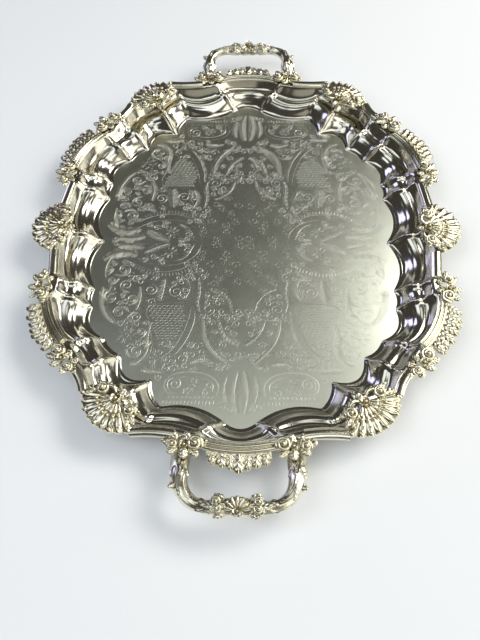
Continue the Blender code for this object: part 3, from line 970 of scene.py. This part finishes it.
def outer_scrolls():
    """The double scrolls down the outer side, the plumes off their backs and the foliage between them."""
    cuts = []
    for x, y, radius, turns, start, hand in OUTER_SCROLLS:
        cuts += [(curl(x, y, radius, turns, start, hand), 1.2)]
        cuts += [(curl(x, y, radius * 0.72, turns * 0.6, start + 30, hand), 0.8)]
        cuts += plume(curl(x, y, radius * 1.25, 0.4, start, hand)[::3], 4.5, 1.6, (-hand,))
    cuts += rosette(119, 119, 9.5, 7)
    cuts += plume([(94, 104), (97, 122), (94, 136), (102, 150), (114, 152)], 6.0, 1.8)
    cuts += plume([(146, 20), (152, 34), (150, 50)], 5.0, 1.7, (1,))
    cuts += plume([(150, 60), (150, 78), (142, 96), (132, 106)], 6.0, 1.8)
    cuts += plume([(110, 60), (108, 76), (112, 90)], 6.0, 1.9)
    return cuts


def cartouche():
    """The cartouche by the end of the oval, with its volute, flower and dots."""
    frame_points = [(24, 186), (21, 174), (30, 163), (50, 159), (68, 162), (77, 172), (72, 184), (62, 182)]
    cuts = [(arc(frame_points, 40), 1.6)]
    cuts += [(arc([(28, 182), (27, 173), (36, 166), (52, 164), (64, 167)], 24), 1.2)]
    cuts += [(curl(65, 173, 8.5, 1.9, 100, -1), 1.4), (curl(31, 175, 4.5, 1.4, 120, 1), 1.1)]
    cuts += rosette(47, 174, 6.5, 7)
    cuts += [(curl(28 + 4.2 * i, 186.5, 1.2, 0.9), 1.6) for i in range(11)]
    cuts += [(comma((26 + 3.4 * i, 190.5), 1.2 - 0.03 * i, 4.5, 0.6), 1.2) for i in range(15)]
    cuts += plume([(78, 160), (88, 158), (100, 158)], 5.0, 1.8)
    return cuts


def pendant():
    """The leaf pendant at the end of the oval, and the stems that lead to it round the middle."""
    cuts = plume([(3, 158), (6, 172), (7, 186), (3, 204)], 6.5, 1.6)
    cuts += plume([(14, 164), (17, 178), (13, 194)], 5.0, 1.7)
    cuts += plume([(40, 100), (38, 118), (30, 134), (14, 150)], 6.5, 1.8)
    cuts += plume([(24, 100), (20, 114), (10, 126), (2, 130)], 6.0, 1.9)
    cuts += plume([(52, 152), (40, 148), (28, 152)], 5.5, 1.8)
    cuts += plume([(48, 50), (45, 64), (48, 80), (44, 92)], 4.5, 2.0)
    cuts += [(curl(36, 88, 7, 1.6, 80, 1), 1.1), (curl(60, 146, 6, 1.5, 90, 1), 1.1)]
    cuts += [(curl(14, 112, 5, 1.5, 200, 1), 1.0), (curl(24, 140, 5, 1.5, 20, -1), 1.0)]
    cuts += plume([(12, 92), (15, 78), (26, 66), (38, 62)], 4.5, 2.4)
    return cuts


def quarter_engraving():
    """The cuts of the first quarter, (path, share of the full width), in body millimetres."""
    cuts = almond_cell() + scale_ground() + outer_scrolls() + cartouche() + pendant()
    return cuts + filler(cuts)


def cut_ridge(path, width):
    """A fine closed ridge of triangular section that tapers at both ends."""
    way = np.gradient(path, axis=0)
    way /= np.hypot(*way.T)[:, None] + 1e-9
    side = np.column_stack([-way[:, 1], way[:, 0]])
    share = np.linspace(0, 1, len(path))
    from_end = np.minimum(share, 1 - share)
    half = (CUT_HALF_WIDTH * width * np.clip(from_end * 6 + 0.35, 0, 1))[:, None]
    top = SHEET + CUT_HEIGHT * np.clip(from_end * 8 + 0.2, 0, 1)
    root = np.full(len(path), SHEET - CUT_ROOT)
    rings = np.stack([
        np.column_stack([path + side * half, root]),
        np.column_stack([path, top]),
        np.column_stack([path - side * half, root]),
    ], 1)
    return skin(rings[:, ::-1])


def build_engraving():
    cuts = quarter_engraving()
    mirrors = ((1, 1), (1, -1), (-1, 1), (-1, -1))
    ridges = [cut_ridge(path * mirror, width) for mirror in mirrors for path, width in cuts]
    link("engraving", joined(ridges), "tray_body", "body_silver", CUT_SILVER)


# ---- stage

# Soft panels that the silver reflects, as seen from the salver: (name, azimuth, elevation, width and height
# in degrees, radiance, colour).
PANELS = (
    ("window_high", 38, 48.5, 26, 22, 6.2, (1.0, 0.98, 0.90)),
    ("window_low", 8, 27, 30, 20, 3.0, (1.0, 0.98, 0.88)),
    ("side_low", -32, 20, 40, 28, 1.6, (1.0, 0.96, 0.80)),
    ("side_high", -40, 58, 34, 28, 1.5, (1.0, 0.99, 0.92)),
    ("top_near", -90, 74, 20, 18, 1.2, (0.94, 1.0, 1.0)),
    ("top_left", 190, 62, 36, 26, 1.2, (0.92, 0.99, 1.0)),
    ("top_far", 90, 80, 20, 16, 0.9, (0.95, 1.0, 0.92)),
    ("cool_left", 138, 22, 22, 18, 2.2, (0.66, 0.65, 1.0)),
    ("near_low", -78, 22, 60, 26, 0.30, (1.0, 0.98, 0.82)),
)
# Lights for the floor and its shadow only: (name, azimuth, elevation, width, height, power in watts, colour).
FLOOR_LIGHTS = (
    ("key", 16, 42, 26, 20, 29, (1.0, 0.97, 0.91)),
    ("fill", 215, 55, 60, 50, 38, (0.88, 0.92, 1.0)),
)
LIGHT_DISTANCE = 2.4
ROOM_COLOUR = (1.0, 0.93, 0.76, 1)
ROOM_STRENGTH = 0.048
FLOOR_SIZE = 6
FLOOR_COLOUR = (0.635, 0.652, 0.672, 1)
CAMERA_PLACE = (0.0156, -0.411, 0.539)
CAMERA_TURNS = ((3.4, "Z"), (30.1, "X"), (-2.4, "Z"))  # turned left, tilted up from straight down, rolled
LENS = 33.75
SENSOR = 36


def build_floor():
    bpy.ops.mesh.primitive_plane_add(size=FLOOR_SIZE, location=(0, 0, 0))
    floor = bpy.context.object
    floor.name = "floor"
    material = bpy.data.materials.new("floor_pale")
    material.use_nodes = True
    shader = material.node_tree.nodes["Principled BSDF"]
    shader.inputs["Base Color"].default_value = FLOOR_COLOUR
    shader.inputs["Roughness"].default_value = 0.9
    floor.data.materials.append(material)


def area_light(name, azimuth, elevation, width, height, colour):
    """A rectangular light on a dome round the salver, facing it, with its angles in degrees."""
    data = bpy.data.lights.new(name, "AREA")
    data.shape = "RECTANGLE"
    data.size, data.size_y = LIGHT_DISTANCE * math.radians(width), LIGHT_DISTANCE * math.radians(height)
    data.color = colour
    lamp = bpy.data.objects.new(name, data)
    turn, rise = math.radians(azimuth), math.radians(elevation)
    way = Vector((math.cos(rise) * math.cos(turn), math.cos(rise) * math.sin(turn), math.sin(rise)))
    lamp.location = way * LIGHT_DISTANCE
    lamp.rotation_euler = way.to_track_quat("Z", "Y").to_euler()
    lamp.visible_camera = False
    bpy.context.scene.collection.objects.link(lamp)
    return lamp


def build_lights():
    world = bpy.data.worlds.new("studio")
    world.use_nodes = True
    room = world.node_tree.nodes["Background"]
    room.inputs["Color"].default_value = ROOM_COLOUR
    room.inputs["Strength"].default_value = ROOM_STRENGTH
    bpy.context.scene.world = world
    for *place, radiance, colour in PANELS:
        data = area_light(*place, colour).data
        data.energy = math.pi * data.size * data.size_y * radiance
    for *place, power, colour in FLOOR_LIGHTS:
        lamp = area_light(*place, colour)
        lamp.data.energy = power
        lamp.visible_glossy = False


def build_camera():
    data = bpy.data.cameras.new("camera")
    data.sensor_width = SENSOR
    data.lens = LENS
    camera = bpy.data.objects.new("camera", data)
    matrix = Matrix.Translation(CAMERA_PLACE)
    for degrees, axis in CAMERA_TURNS:
        matrix = matrix @ Matrix.Rotation(math.radians(degrees), 4, axis)
    camera.matrix_world = matrix
    bpy.context.scene.collection.objects.link(camera)
    bpy.context.scene.camera = camera


build_camera()
build_lights()
build_floor()
build_body()
build_mouldings()
build_leaf_bands()
build_shells()
build_scrolls()
build_handles()
build_engraving()
bpy.context.scene.view_settings.view_transform = "Standard"
